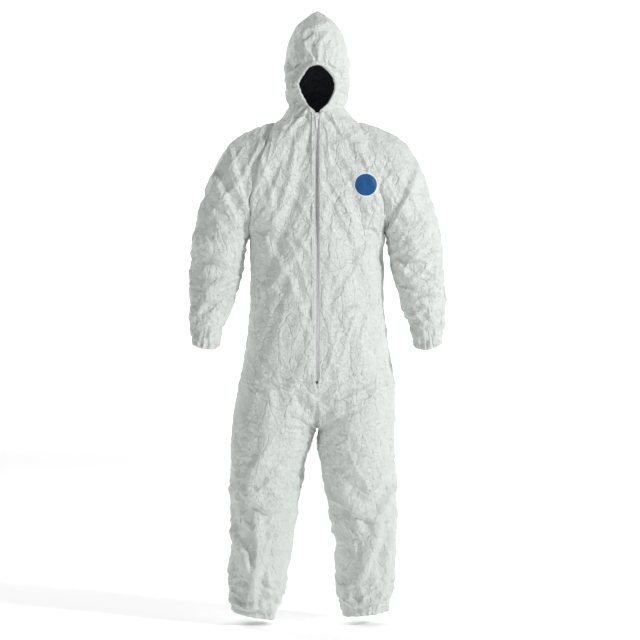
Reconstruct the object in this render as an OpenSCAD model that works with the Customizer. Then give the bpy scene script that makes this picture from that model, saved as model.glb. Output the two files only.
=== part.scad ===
// Hooded protective coverall with a front zip and elastic face, wrists and ankles.
// The origin is the middle of the neck seam. +Z is up, the front faces -Y, the wearer's left is +X.
// Each sheet of cloth is a closed shell. Shells on either side of a joint end on two arcs about its axis.

/* [Cloth] */
// Wall that stands for the cloth
cloth = 3; // [2:0.5:3.5]
// Gap between sheets that a seam joins
seam_gap = 0.6; // [0.4:0.1:1]

/* [Body] */
// Half width of the chest at the armpits
chest_w = 194; // [188:1:198]
// Half width of the waist
waist_w = 190; // [186:1:196]
// Half width of the hips
hip_w = 217; // [212:1:222]
// Depth of the front from the middle, at the neck
neck_front = 90; // [88:1:92]
// Depth of the front from the middle, at the bottom of the zip
zip_foot_front = 128; // [124:1:130]

/* [Zip] */
// Length of the row of teeth
zip_l = 760; // [700:5:760]
// Gap between the front edges, in which the zip shows
zip_gap = 13; // [12:0.5:14]
// Width of one tape
tape_w = 12; // [10:0.5:13]
// Length of the pull tab
pull_l = 34; // [24:1:40]
// Hole in the pull tab, for a cord
pull_hole_r = 1.6; // [1:0.1:2]

/* [Openings] */
// Inner radius of the wrist hem
wrist_r = 38; // [36:1:39]
// Inner radius of the ankle hem
ankle_r = 61; // [58:1:62]
// Width of the wrist and ankle hems
hem_w = 14; // [12:1:16]
// Half width of the face opening
face_w = 49; // [46:1:50]

/* [Badge] */
// Radius of the round chest badge
badge_r = 35; // [24:1:36]

/* [Hidden] */
// Joint centres: the shoulder turns about Y, and the elbow, hip, knee and hood turn about X
shoulder = [215, 5, -205];
elbow = [291, 5, -435];
wrist = [317, -52, -632];
hip_z = -757;
knee_z = -1096;
neck_y = 5;
neck_z = 20;
// Radius of the arc on which each sheet ends, about its joint's centre
shoulder_r = 142;
elbow_r = 92;
hip_r = 138;
knee_r = 122;
neck_r = 98;
arc_gap = 1.5;

armpit_z = -313;
shoulder_top_z = -12;
neck_seam_z = 5;
zip_top_z = 16;
zip_angle = atan((zip_foot_front - neck_front) / 763);
zip_bottom_z = zip_top_z - zip_l * cos(zip_angle);
ankle_z = -1413;
squareness = 0.86;
gap_taper = 13.5;
pelvis_drop = 90;

// Outlines as [height, size]. Heights are below the neck seam
body_half_w = [[-900, 226], [-783, hip_w + 1], [-690, hip_w - 4], [-597, waist_w + 9], [-516, waist_w],
  [-412, chest_w - 6], [armpit_z, chest_w], [-226, chest_w - 1], [-154, chest_w - 16],
  [-107, chest_w - 31], [-60, chest_w - 48], [shoulder_top_z, chest_w - 74], [neck_seam_z, 107]];
body_back = [[-900, 126], [-757, 132], [-690, 135], [-516, 112], [-412, 120], [-300, 125], [-150, 122],
  [-60, 106], [shoulder_top_z, 86], [neck_seam_z, 80]];
leg_half_w = [[-1413, 66], [-1363, 80], [-1300, 86], [-1219, 87], [knee_z, 99], [-960, 106], [-900, 112], [hip_z, 110]];
leg_depth = [[-1413, 66], [-1363, 76], [-1300, 84], [-1219, 88], [knee_z, 96], [-960, 112], [-900, 118], [hip_z, 122]];
// The two legs stand at slightly different angles, as [height, distance from the middle]
right_leg_x = [[-1413, 184], [-1363, 176], [-1300, 172], [-1219, 158], [knee_z, 152], [-960, 141], [-900, 131], [hip_z, 118]];
left_leg_x = [[-1413, 139], [-1363, 139], [-1300, 140], [-1219, 141], [knee_z, 129], [-960, 116], [-900, 113], [hip_z, 112]];
sleeve_x = [[-632, 317], [-580, 314], [-516, 304], [-464, 294], [-412, 289], [-360, 283], [-320, 275]];
sleeve_half_w = [[-632, 43], [-580, 50], [-516, 60], [-464, 69], [-412, 74], [-360, 78], [-320, 76]];
sleeve_depth = [[-632, 43], [-580, 50], [-516, 60], [-464, 66], [-412, 72], [-360, 80], [-320, 84]];
hood_half_w = [[neck_seam_z, 105], [40, 80], [75, 93], [168, 96], [191, 91], [215, 86], [238, 79], [261, 69],
  [284, 52], [304, 28], [316, 8]];
hood_front = [[neck_seam_z, 91], [18, 90.5], [40, 85], [60, 90], [100, 102], [140, 112], [168, 116], [200, 114], [238, 104],
  [261, 94], [284, 78], [304, 50], [316, 22]];
hood_back = [[neck_seam_z, 78], [40, 85], [60, 92], [100, 120], [140, 135], [168, 140], [200, 138], [238, 125],
  [261, 112], [284, 90], [304, 58], [316, 26]];
// Half width of the face opening against height
face_half_w = [[17, 7], [24, 15], [40, face_w - 15], [58, face_w - 4], [80, face_w + 2], [110, face_w + 4],
  [130, face_w], [146, face_w - 12], [158, face_w - 28], [166, 6], [170, 0]];
// Front ends of the sleeve head's rings in the front view: outer end, inner end and half depth
sleeve_head_rings = [
  [[171, -17], [195.5, -318], 94], [[226, -41], [196.5, -325], 93], [[258, -66], [197.5, -331], 92],
  [[287, -110], [198.5, -337], 91], [[307, -157], [199.5, -341], 89], [[331, -226], [200, -345], 87]];
// Middle, half width and half depth of the sleeve head's lower end
sleeve_head_end = [275, 75, 85];
armhole_depth = 95;
arm_y = 5;

coil_out = 3.2;
coil_in = 0.7;
coil_t = 2.2;
tape_t = 0.6;
plate_t = 1;
slider_w = 9.6;
slider_l = 15;
pin_r = 0.8;
pin_play = 0.1;
pin_lift = 3.2;
eye_r = 1.9;
pull_w = 7;
pull_t = 1.3;
stop_l = 3;
// Depths behind the cloth's outer face at the zip
tape_n = -cloth - 1.3;
coil_n = tape_n + tape_t / 2 + 0.1;
slider_top_n = coil_n + coil_t + 0.4;

per_quarter = 12;
per_ring = 28;
per_leg = 32;

cloth_colour = [0.86, 0.88, 0.87];
elastic_colour = [0.93, 0.93, 0.9];

// ---- Sheets of cloth ----

// A closed shell between two grids of points, whose rows all have the same number of points.
// Seen from the near side, the rows run down and their points run to the right. With wrap, a row closes.
module sheet(near, far, wrap = false) {
  rows = len(near);
  cols = len(near[0]);
  size = rows * cols;
  last = wrap ? cols - 1 : cols - 2;
  points = [for (row = near) each row, for (row = far) each row];
  function at(i, j) = i * cols + j % cols;
  function quad(a, b, c, d) = [[a, b, c], [a, c, d]];
  skins = [for (i = [0:rows - 2], j = [0:last]) each concat(
    quad(at(i, j), at(i, j + 1), at(i + 1, j + 1), at(i + 1, j)),
    quad(size + at(i, j), size + at(i + 1, j), size + at(i + 1, j + 1), size + at(i, j + 1)))];
  ends = [for (j = [0:last]) each concat(
    quad(at(0, j), size + at(0, j), size + at(0, j + 1), at(0, j + 1)),
    quad(at(rows - 1, j), at(rows - 1, j + 1), size + at(rows - 1, j + 1), size + at(rows - 1, j)))];
  sides = wrap ? [] : [for (i = [0:rows - 2]) each concat(
    quad(at(i, 0), at(i + 1, 0), size + at(i + 1, 0), size + at(i, 0)),
    quad(at(i, cols - 1), size + at(i, cols - 1), size + at(i + 1, cols - 1), at(i + 1, cols - 1)))];
  polyhedron(points, concat(skins, ends, sides), convexity = 10);
}

module mirrored(side) {
  if (side > 0) children();
  else mirror([1, 0, 0]) children();
}

// Height on the lower half of an arc about a joint, at a distance across from it
function under(centre, r, across) = centre - sqrt(max(0, r * r - across * across));
function over(centre, r, across) = centre + sqrt(max(0, r * r - across * across));

// ---- Body panels ----

function front_depth(z) = neck_front - z * tan(zip_angle);
// Half depth of the armhole, front or back, at height z
function armhole_z(z) = (z - (armpit_z + shoulder_top_z) / 2) / ((shoulder_top_z - armpit_z) / 2);
function armhole_half(z) = abs(armhole_z(z)) >= 1 ? 0 : armhole_depth * sqrt(1 - pow(armhole_z(z), 2));
// Half width of the gap between the front edges, which closes to a point below the zip
function edge_x(z) = max(seam_gap / 2, zip_gap / 2 * min(1, 1 + (z - zip_bottom_z) / gap_taper));

// A point of the front or back, at a share of the way from the middle (0) to the side (1)
function body_point(z, share, front, inset, middle) =
  let (w = lookup(z, body_half_w) - inset,
       depth = (front ? front_depth(z) : lookup(z, body_back)) - inset,
       hole = armhole_half(z) + (front ? -arm_y : arm_y) * (armhole_half(z) > 0 ? 1 : 0),
       from = asin(pow(middle / w, 1 / squareness)),
       angle = from + (90 - from) * share,
       x = w * pow(sin(angle), squareness),
       y = max(hole, 0) + (depth - max(hole, 0)) * pow(cos(min(angle, 90)), squareness))
  [x, front ? -y - seam_gap / 2 : y + seam_gap / 2, z];

body_rows = [neck_seam_z, -4, shoulder_top_z, -20, -34, -52, -76, -106, -142, -184, -226, -262, -288, -303,
  armpit_z, -360, -412, -464, -516, -560, -610, -660, -705, zip_bottom_z];

function body_grid(front, inset) = concat(
  [for (z = body_rows) [for (j = [0:per_quarter])
    body_point(z, j / per_quarter, front, inset, front ? edge_x(z) : seam_gap / 2)]],
  // The lowest rows bend from a level line into the arc about the hips
  [for (mix = [0, 0.5, 1]) [for (j = [0:per_quarter])
    let (p = body_point(hip_z - mix * pelvis_drop, j / per_quarter, front, inset, seam_gap / 2))
    [p.x, p.y, (1 - mix) * hip_z + mix * under(hip_z, hip_r, p.y)]]]);

module body_panel(side, front) {
  near = body_grid(front, front ? 0 : cloth);
  far = body_grid(front, front ? cloth : 0);
  color(cloth_colour) mirrored(side) sheet(near, far);
}

module crotch_gusset() {
  reach = 62;
  width = 34;
  color(cloth_colour) translate([0, 0, hip_z]) rotate([0, 90, 0]) rotate([0, 0, -reach])
    rotate_extrude(angle = 2 * reach, $fn = 96) translate([hip_r - cloth, -width / 2]) square([cloth, width]);
}

module waist_elastic() {
  band_w = 20;
  band_t = 1.2;
  shares = [for (k = [-14:14]) k / 16];
  function line(z, inset) = [for (s = shares)
    let (p = body_point(z, abs(s), false, inset, seam_gap / 2)) [s < 0 ? -p.x : p.x, p.y, z]];
  heights = [-516 - band_w / 2, -516, -516 + band_w / 2];
  color(elastic_colour)
    sheet([for (z = heights) line(z, cloth + 0.8)], [for (z = heights) line(z, cloth + 0.8 + band_t)]);
}

// Front surface of the body at a given place in the front view
function front_y(x, z) =
  let (w = lookup(z, body_half_w), hole = max(armhole_half(z) - arm_y, 0),
       s = pow(min(1, x / w), 1 / squareness))
  -hole - (front_depth(z) - hole) * pow(sqrt(1 - s * s), squareness) - seam_gap / 2;

module chest_badge() {
  at_x = 139;
  at_z = -190;
  rings = [0.02, 0.35, 0.7, 1];
  function disc(lift) = [for (k = rings) [for (a = [0:10:350])
    let (x = at_x + k * badge_r * cos(a), z = at_z + k * badge_r * sin(a)) [x, front_y(x, z) - lift, z]]];
  color([0.03, 0.3, 0.62]) sheet(disc(0.9), disc(0.4), wrap = true);
}

// ---- Zip, in its own frame: s runs down the zip, x across it, n out of the cloth ----

module on_zip() {
  translate([0, -front_depth(zip_top_z) - seam_gap / 2, zip_top_z]) rotate([90 - zip_angle, 0, 0])
    children();
}

// A box in the zip's frame, from x, s and n ranges
module zip_box(x, s, n) {
  on_zip() translate([x[0], -s[1], n[0]]) cube([x[1] - x[0], s[1] - s[0], n[1] - n[0]]);
}

module zip_tape(side) {
  color([0.94, 0.95, 0.95]) mirrored(side)
    zip_box([coil_in - 0.1, tape_w], [0, zip_l + 4], [tape_n - tape_t / 2, tape_n + tape_t / 2]);
}

module zip_teeth(side) {
  color([0.96, 0.96, 0.96]) mirrored(side)
    zip_box([coil_in, coil_out], [stop_l + 0.5, zip_l - stop_l - 0.5], [coil_n, coil_n + coil_t]);
}

module zip_top_stops() {
  color([0.9, 0.9, 0.9]) for (side = [1, -1]) mirrored(side)
    zip_box([coil_in, coil_out + 0.6], [0, stop_l], [coil_n, coil_n + coil_t + 0.2]);
}

module zip_bottom_stop() {
  color([0.9, 0.9, 0.9])
    zip_box([-coil_out, coil_out], [zip_l - stop_l, zip_l], [coil_n, coil_n + coil_t + 0.2]);
}

// Two wings joined by a post that runs between the rows of teeth, and a bridge that holds the pull's pin
slider_s = stop_l + 2;
ear_s = slider_s + 6;
ear_l = 4;
pin_s = ear_s + ear_l / 2;
pin_n = slider_top_n + plate_t + pin_lift - 1;
module zip_slider() {
  back_n = tape_n - tape_t / 2 - 0.3;
  color([0.93, 0.93, 0.93]) {
    union() {
      on_zip() translate([0, -slider_s - slider_l / 2, slider_top_n]) linear_extrude(plate_t)
        square([slider_w, slider_l], center = true);
      on_zip() translate([0, -slider_s - slider_l / 2, back_n - plate_t]) linear_extrude(plate_t)
        square([slider_w, slider_l], center = true);
      zip_box([-0.4, 0.4], [slider_s, slider_s + 4], [back_n - plate_t, slider_top_n + plate_t]);
      for (x = [-4, 3])
        zip_box([x, x + 1], [ear_s, ear_s + ear_l], [slider_top_n, slider_top_n + plate_t + pin_lift]);
      on_zip() translate([-4, -pin_s, pin_n]) rotate([0, 90, 0])
        cylinder(h = 8, r = pin_r, $fn = 32);
    }
  }
}

module zip_pull() {
  eye_w = 4.8;
  neck_l = 8;
  color([0.95, 0.95, 0.95]) difference() {
    union() {
      on_zip() translate([-eye_w / 2, -pin_s, pin_n]) rotate([0, 90, 0]) cylinder(h = eye_w, r = eye_r, $fn = 48);
      on_zip() translate([0, -pin_s - 1, pin_n - pull_t / 2]) linear_extrude(pull_t) {
        translate([-eye_w / 2, -neck_l]) square([eye_w, neck_l]);
        translate([-pull_w / 2, -pull_l + pull_w / 2]) square([pull_w, pull_l - pull_w / 2 - neck_l + 1]);
        translate([0, -pull_l + pull_w / 2]) circle(pull_w / 2, $fn = 48);
      }
    }
    on_zip() translate([-eye_w, -pin_s, pin_n]) rotate([0, 90, 0]) cylinder(h = 2 * eye_w, r = pin_r + pin_play, $fn = 48);
    on_zip() translate([0, -pin_s - 1 - pull_l + pull_w / 2, pin_n - 3])
      cylinder(h = 6, r = pull_hole_r, $fn = 48);
  }
}

// ---- Hood ----

// A point round one half of the hood, from the edge of the face opening (share 0) to the back (share 1)
function hood_point(z, share, inset, at_z) =
  let (w = max(1.2, lookup(z, hood_half_w) - inset), front = max(1, lookup(z, hood_front) - inset),
       back = max(1, lookup(z, hood_back) - inset),
       edge = min(w * 0.96, z > 170 ? seam_gap / 2 : max(seam_gap / 2, lookup(z, face_half_w))),
       from = asin(edge / w),
       angle = from + (180 - from) * share,
       x = w * sin(angle))
  [max(seam_gap / 2, x), -(angle < 90 ? front : back) * cos(angle), at_z];

per_half_hood = 16;
function hood_row(z, inset) = [for (j = [0:per_half_hood]) hood_point(z, j / per_half_hood, inset, z)];
// A row part of the way (mix) from a level line to the arc about the neck
function neck_row(level_z, mix, rough_z, r, inset) = [for (j = [0:per_half_hood])
  let (share = j / per_half_hood, rough = hood_point(rough_z, share, inset, rough_z),
       z = (1 - mix) * level_z + mix * over(neck_z, r, rough.y - neck_y), p = hood_point(z, share, inset, z))
  mix < 1 ? [p.x, p.y, z] : [p.x, p.y, over(neck_z, r, p.y - neck_y)]];

collar_rows = [neck_seam_z + 1, 12, 18, 25, 33, 41];
collar_top = 41;
collar_end_z = 60;
function collar_grid(inset) = concat(
  [for (z = collar_rows) hood_row(z, inset)],
  [for (mix = [0.4, 0.7, 1]) neck_row(collar_top, mix, collar_end_z, neck_r, inset)]);

hood_rows = [122, 131, 140, 147, 153, 159, 164, 168, 171, 180, 200, 220, 240, 258, 274, 288, 300, 310, 316];
hood_start_z = 64;
hood_level_z = 121;
function hood_grid(inset) = concat(
  [for (mix = [1, 0.5]) neck_row(hood_level_z, mix, hood_start_z, neck_r + arc_gap, inset)],
  [for (z = hood_rows) hood_row(z, inset)]);

module collar(side) {
  color(cloth_colour) mirrored(side) sheet(collar_grid(cloth), collar_grid(0));
}

module hood(side) {
  color(cloth_colour) mirrored(side) sheet(hood_grid(cloth), hood_grid(0));
}

// A closed loop of round section that follows the edge of the face opening, some way inside it
module face_loop(inward, back, r) {
  count = 44;
  low = 26;
  high = 163;
  function on_edge(a) =
    let (z = (low + high) / 2 + (high - low) / 2 * -cos(a) * 0.98, side = sin(a) >= 0 ? 1 : -1,
         x = max(0, (lookup(z, face_half_w) - inward)) * (abs(sin(a)) < 0.001 ? 0 : 1),
         w = lookup(z, hood_half_w), f = lookup(z, hood_front))
    [side * x, back - f * sqrt(1 - pow(min(0.9, x / w), 2)) , z];
  centre = [for (k = [0:count - 1]) on_edge(360 * k / count)];
  function unit(v) = v / norm(v);
  rings = [for (k = [0:count - 1])
    let (p = centre[k], along = unit(centre[(k + 1) % count] - centre[(k + count - 1) % count]),
         u = unit(cross(along, [0, 1, 0])), v = cross(along, u))
    [for (a = [0:60:300]) p + r * (cos(a) * u + sin(a) * v)]];
  points = [for (ring = rings) each ring];
  faces = [for (k = [0:count - 1], a = [0:5])
    let (i = k * 6 + a, j = k * 6 + (a + 1) % 6, m = ((k + 1) % count) * 6)
    each [[i, m + a, m + (a + 1) % 6], [i, m + (a + 1) % 6, j]]];
  polyhedron(points, faces, convexity = 6);
}

module face_hem() {
  color(cloth_colour) face_loop(4.4, 2, 2.6);
}

module face_elastic() {
  color(elastic_colour) face_loop(5, 7, 1.4);
}

// ---- Sleeves ----

function ring_point(centre, half, depth, a) =
  [centre.x + half.x * cos(a), arm_y + depth * sin(a), centre.y + half.y * cos(a)];

function sleeve_head_grid(inset) = concat(
  // The first ring follows the armhole, a seam's gap away from the body
  [[for (k = [0:per_ring - 1])
    let (a = 360 * k / per_ring, mid = (armpit_z + shoulder_top_z) / 2,
         z = mid + (shoulder_top_z - armpit_z) / 2 * cos(a))
    [lookup(z, body_half_w) + 2 * seam_gap, arm_y * (1 - abs(cos(a))) + (armhole_depth - inset) * sin(a), z]]],
  [for (ring = sleeve_head_rings) [for (k = [0:per_ring - 1])
    let (a = 360 * k / per_ring, outer = ring[0], inner = ring[1], full = norm(outer - inner),
         centre = (outer + inner) / 2, half = (outer - inner) / 2 * (1 - 2 * inset / full))
    ring_point(centre, half, ring[2] - inset, a)]],
  [[for (k = [0:per_ring - 1])
    let (a = 360 * k / per_ring, x = sleeve_head_end.x + (sleeve_head_end.y - inset) * cos(a))
    [x, arm_y + (sleeve_head_end.z - inset) * sin(a), under(shoulder.z, shoulder_r, x - shoulder.x)]]]);

module sleeve_head(side) {
  color(cloth_colour) mirrored(side) sheet(sleeve_head_grid(0), sleeve_head_grid(cloth), wrap = true);
}

function upper_ring(z, inset) = [for (k = [0:per_ring - 1])
  let (a = 360 * k / per_ring)
  [lookup(z, sleeve_x) + (lookup(z, sleeve_half_w) - inset) * cos(a),
   arm_y + (lookup(z, sleeve_depth) - inset) * sin(a), z]];

elbow_end_z = -512;
function sleeve_upper_grid(inset) = concat(
  [for (ring = [upper_ring(-320, inset)]) [for (p = ring)
    [p.x, p.y, under(shoulder.z, shoulder_r + arc_gap, p.x - shoulder.x)]]],
  [for (z = [-365, -400, -435, -468, -490]) upper_ring(z, inset)],
  [for (ring = [upper_ring(elbow_end_z, inset)]) [for (p = ring)
    [p.x, p.y, under(elbow.z, elbow_r, p.y - elbow.y)]]]);

module sleeve_upper(side) {
  color(cloth_colour) mirrored(side) sheet(sleeve_upper_grid(0), sleeve_upper_grid(cloth), wrap = true);
}

// The forearm leans forward from the elbow to the wrist
function lean_y(z) = elbow.y + (wrist.y - elbow.y) * (elbow.z - z) / (elbow.z - wrist.z);
forearm = (wrist - elbow) / norm(wrist - elbow);

function lower_ring(z, inset) = [for (k = [0:per_ring - 1])
  let (a = 360 * k / per_ring)
  [lookup(z, sleeve_x) + (lookup(z, sleeve_half_w) - inset) * cos(a),
   lean_y(z) + (lookup(z, sleeve_depth) - inset) * sin(a), z]];

function wrist_ring(r) =
  let (u = cross([0, 1, 0], forearm) / norm(cross([0, 1, 0], forearm)) * -1, v = cross(u, forearm))
  [for (k = [0:per_ring - 1]) let (a = 360 * k / per_ring)
    wrist - 0.5 * forearm + (u.x > 0 ? 1 : -1) * r * cos(a) * u + (v.y > 0 ? 1 : -1) * r * sin(a) * v];

function sleeve_lower_grid(inset) = concat(
  [for (ring = [lower_ring(elbow_end_z, inset)]) [for (p = ring)
    [p.x, p.y, under(elbow.z, elbow_r + arc_gap, p.y - elbow.y)]]],
  [for (z = [-545, -570, -596]) lower_ring(z, inset)],
  [wrist_ring(wrist_r + 5 - inset)]);

module sleeve_lower(side) {
  color(cloth_colour) mirrored(side) sheet(sleeve_lower_grid(0), sleeve_lower_grid(cloth), wrap = true);
}

// ---- Wrist and ankle hems: a folded band with a groove inside it, and the elastic in the groove ----

groove_w = 8;
groove_d = 2.6;
band_gap = 0.2;

module hem_band(r) {
  rotate_extrude($fn = 96) difference() {
    translate([r, 0]) square([5, hem_w]);
    translate([r - 1, (hem_w - groove_w) / 2]) square([groove_d + 1, groove_w]);
  }
}

module elastic_band(r) {
  rotate_extrude($fn = 96) translate([r + band_gap, (hem_w - groove_w) / 2 + band_gap])
    square([groove_d - 2 * band_gap, groove_w - 2 * band_gap]);
}

// Puts a band that starts at z = 0 and runs up on to the end of a sleeve, along the forearm
module at_wrist(side) {
  mirrored(side) translate(wrist) rotate([0, acos(forearm.z), atan2(forearm.y, forearm.x)]) children();
}

module at_ankle(side) {
  x = side > 0 ? lookup(ankle_z, left_leg_x) : -lookup(ankle_z, right_leg_x);
  translate([x, 0, ankle_z - hem_w]) children();
}

module wrist_hem(side) { color(cloth_colour) at_wrist(side) hem_band(wrist_r); }
module wrist_elastic(side) { color(elastic_colour) at_wrist(side) elastic_band(wrist_r); }
module ankle_hem(side) { color(cloth_colour) at_ankle(side) hem_band(ankle_r); }
module ankle_elastic(side) { color(elastic_colour) at_ankle(side) elastic_band(ankle_r); }

// ---- Legs ----

function leg_x(side, z) = lookup(z, side > 0 ? left_leg_x : right_leg_x);
function leg_ring(side, z, inset) = [for (k = [0:per_leg - 1])
  let (a = 360 * k / per_leg)
  [leg_x(side, z) + (lookup(z, leg_half_w) - inset) * cos(a), (lookup(z, leg_depth) - inset) * sin(a), z]];
// A leg's ring whose heights follow the arc about a joint
function leg_arc(side, z, inset, centre, r) = [for (p = leg_ring(side, z, inset)) [p.x, p.y, under(centre, r, p.y)]];

knee_end_z = -1195;
function thigh_grid(side, inset) = concat(
  [leg_arc(side, hip_z, inset, hip_z, hip_r + arc_gap)],
  [for (z = [-925, -975, -1030, knee_z, -1140]) leg_ring(side, z, inset)],
  [leg_arc(side, knee_end_z, inset, knee_z, knee_r)]);

function shin_grid(side, inset) = concat(
  [leg_arc(side, knee_end_z, inset, knee_z, knee_r + arc_gap)],
  [for (z = [-1245, -1275, -1310, -1350, -1385, ankle_z + 0.5]) leg_ring(side, z, inset)]);

module thigh(side) {
  color(cloth_colour) mirrored(side) sheet(thigh_grid(side, 0), thigh_grid(side, cloth), wrap = true);
}

module shin(side) {
  color(cloth_colour) mirrored(side) sheet(shin_grid(side, 0), shin_grid(side, cloth), wrap = true);
}

body_panel(-1, true);  // front_panel_right
body_panel(1, true);  // front_panel_left
body_panel(-1, false);  // back_panel_right
body_panel(1, false);  // back_panel_left
crotch_gusset();
waist_elastic();
chest_badge();
zip_tape(-1);  // zip_tape_right
zip_tape(1);  // zip_tape_left
zip_teeth(-1);  // zip_teeth_right
zip_teeth(1);  // zip_teeth_left
zip_top_stops();
zip_bottom_stop();
zip_slider();
zip_pull();
collar(-1);  // collar_right
collar(1);  // collar_left
hood(-1);  // hood_right
hood(1);  // hood_left
face_hem();
face_elastic();
sleeve_head(-1);  // sleeve_head_right
sleeve_head(1);  // sleeve_head_left
sleeve_upper(-1);  // sleeve_upper_right
sleeve_upper(1);  // sleeve_upper_left
sleeve_lower(-1);  // sleeve_lower_right
sleeve_lower(1);  // sleeve_lower_left
wrist_hem(-1);  // wrist_hem_right
wrist_hem(1);  // wrist_hem_left
wrist_elastic(-1);  // wrist_elastic_right
wrist_elastic(1);  // wrist_elastic_left
thigh(-1);  // thigh_right
thigh(1);  // thigh_left
shin(-1);  // shin_right
shin(1);  // shin_left
ankle_hem(-1);  // ankle_hem_right
ankle_hem(1);  // ankle_hem_left
ankle_elastic(-1);  // ankle_elastic_right
ankle_elastic(1);  // ankle_elastic_left
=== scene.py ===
"""Looks of the hooded protective coverall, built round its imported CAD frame.

The whole suit is first one welded mesh of cloth, in millimetres. A cloth simulation lets its slack buckle,
which makes it uneven. It is then taken to metres, numpy adds the folds and creases, most of them placed from
tables, and the result is cut into the pieces that the joints move.
"""
import math

import bmesh
import bpy
import numpy as np
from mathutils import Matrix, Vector, noise
from mathutils.bvhtree import BVHTree


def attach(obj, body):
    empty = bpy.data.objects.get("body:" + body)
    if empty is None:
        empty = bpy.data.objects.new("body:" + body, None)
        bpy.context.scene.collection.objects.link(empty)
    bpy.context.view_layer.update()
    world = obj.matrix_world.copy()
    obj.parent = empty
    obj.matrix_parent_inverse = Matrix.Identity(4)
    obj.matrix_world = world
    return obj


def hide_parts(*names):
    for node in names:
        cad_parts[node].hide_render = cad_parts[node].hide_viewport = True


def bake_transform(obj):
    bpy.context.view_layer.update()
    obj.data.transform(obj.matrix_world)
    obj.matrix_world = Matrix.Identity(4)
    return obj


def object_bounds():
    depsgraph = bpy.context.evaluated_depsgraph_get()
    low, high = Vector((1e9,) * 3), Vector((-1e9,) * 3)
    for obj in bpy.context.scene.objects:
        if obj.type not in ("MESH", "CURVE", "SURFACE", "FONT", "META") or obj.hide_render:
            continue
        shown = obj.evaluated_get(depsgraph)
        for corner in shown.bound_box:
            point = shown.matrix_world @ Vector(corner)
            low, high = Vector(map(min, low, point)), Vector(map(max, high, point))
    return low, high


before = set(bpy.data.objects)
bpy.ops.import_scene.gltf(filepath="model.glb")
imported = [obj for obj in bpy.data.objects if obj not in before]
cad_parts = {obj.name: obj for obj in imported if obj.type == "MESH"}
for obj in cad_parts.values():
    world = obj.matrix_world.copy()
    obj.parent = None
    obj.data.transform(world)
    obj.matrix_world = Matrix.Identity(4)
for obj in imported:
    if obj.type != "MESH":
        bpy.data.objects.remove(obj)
cad_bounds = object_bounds()
MM = 0.001

# ---------------------------------------------------------------- outlines, in millimetres

ZIP_TOP, ZIP_FOOT = 17.0, -758.0
ZIP_HALF = 6.5
NECK_Z = 5.0
SHOULDER_TOP, ARMPIT = -1.0, -313.0
HIP_SPREAD = -560.0        # below this the body's rows dip towards the crotch
HIP_Z = -757.0
CROTCH_Z = -885.0
SIDE_FOOT = -754.0         # height at the side where body meets leg
CROTCH_R = 128.0
ANKLE_Z = -1413.0
ARM_Y = 5.0

BODY_HALF_W = [(-900, 226), (-783, 218), (-690, 213), (-597, 199), (-516, 190), (-412, 188), (-313, 194),
               (-226, 193), (-154, 178), (-107, 163), (-60, 145), (-25, 127), (-1, 117), (5, 110)]
BODY_BACK = [(-900, 126), (-757, 132), (-690, 135), (-516, 112), (-412, 120), (-300, 125), (-150, 122),
             (-60, 106), (-12, 88), (5, 80)]
HOOD_HALF_W = [(5, 106), (40, 80), (75, 93), (168, 96), (191, 91), (215, 86), (238, 79), (261, 69), (282, 52),
               (297, 35), (304, 26), (310, 17), (313.5, 9), (315, 0)]
HOOD_FRONT = [(5, 91), (18, 90), (40, 85), (60, 90), (100, 102), (140, 112), (168, 116), (200, 114),
              (238, 104), (261, 94), (284, 78), (300, 52), (315, 24)]
HOOD_BACK = [(5, 78), (40, 85), (60, 92), (100, 120), (140, 135), (168, 140), (200, 138), (238, 125),
             (261, 112), (284, 90), (300, 60), (315, 28)]
FACE_HALF_W = [(17, 6.5), (24, 15), (40, 34), (58, 46), (80, 54), (100, 56), (117, 52), (134, 39), (142, 31),
               (149.7, 19), (152, 0)]
LEG_HALF_W = [(-1413, 66), (-1363, 80), (-1300, 86), (-1219, 87), (-1096, 99), (-960, 106), (-900, 112),
              (-820, 113)]
LEG_DEPTH = [(-1413, 66), (-1363, 76), (-1300, 84), (-1219, 88), (-1096, 96), (-960, 112), (-900, 118),
             (-820, 122)]
LEG_X = {-1: [(-1413, 184), (-1363, 176), (-1300, 172), (-1219, 158), (-1096, 152), (-960, 141), (-900, 131),
              (-820, 113)],
         1: [(-1413, 139), (-1363, 139), (-1300, 140), (-1219, 141), (-1096, 129), (-960, 116), (-900, 113),
             (-820, 113)]}
# Rings down a sleeve in the front view: (outer x, outer z, inner x, inner z, half depth, middle y)
SLEEVE_RINGS = [(117, -1, 194, -313, 95, 5), (171, -17, 195.5, -319, 94, 5), (226, -41, 196.5, -327, 93, 5),
                (258, -66, 198, -334, 92, 5), (287, -110, 200, -341, 91, 5), (307, -157, 202, -348, 89, 5),
                (331, -226, 205, -360, 87, 5), (347, -280, 208, -378, 85, 5), (357, -330, 211, -402, 81, 5),
                (363, -385, 216, -430, 75, 5), (365, -440, 223, -462, 70, 0), (367, -500, 236, -505, 64, -14),
                (369, -550, 251, -550, 56, -28), (367, -590, 264, -588, 49, -39),
                (360.5, -626, 274, -637, 43, -52)]
WRIST_TILT = 0.27          # rise of the front of the wrist against its back
FACE_TOP = 152
LEG_TOP = -819.5           # height of the middle of a leg's first ring
LEG_SLOPE = 131 / 226      # how far that ring rises to the outside
LEVEL_FROM = -1050         # below this a leg's rings are level


def table(pairs, z):
    knots = sorted(pairs)
    return np.interp(z, [k[0] for k in knots], [k[1] for k in knots])


def resample(line, count):
    """Points at equal distances along a polyline."""
    line = np.asarray(line, float)
    run = np.concatenate([[0], np.cumsum(np.linalg.norm(np.diff(line, axis=0), axis=1))])
    at = np.linspace(0, run[-1], count)
    return np.stack([np.interp(at, run, line[:, k]) for k in range(3)], 1)


# ---------------------------------------------------------------- the suit as one welded mesh

QUARTER = 34        # columns from the middle of the body to its side
ARM_ROWS = 38       # rows from the top of the shoulder to the armpit
TORSO, SLEEVE, LEG, HOOD = range(4)


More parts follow.
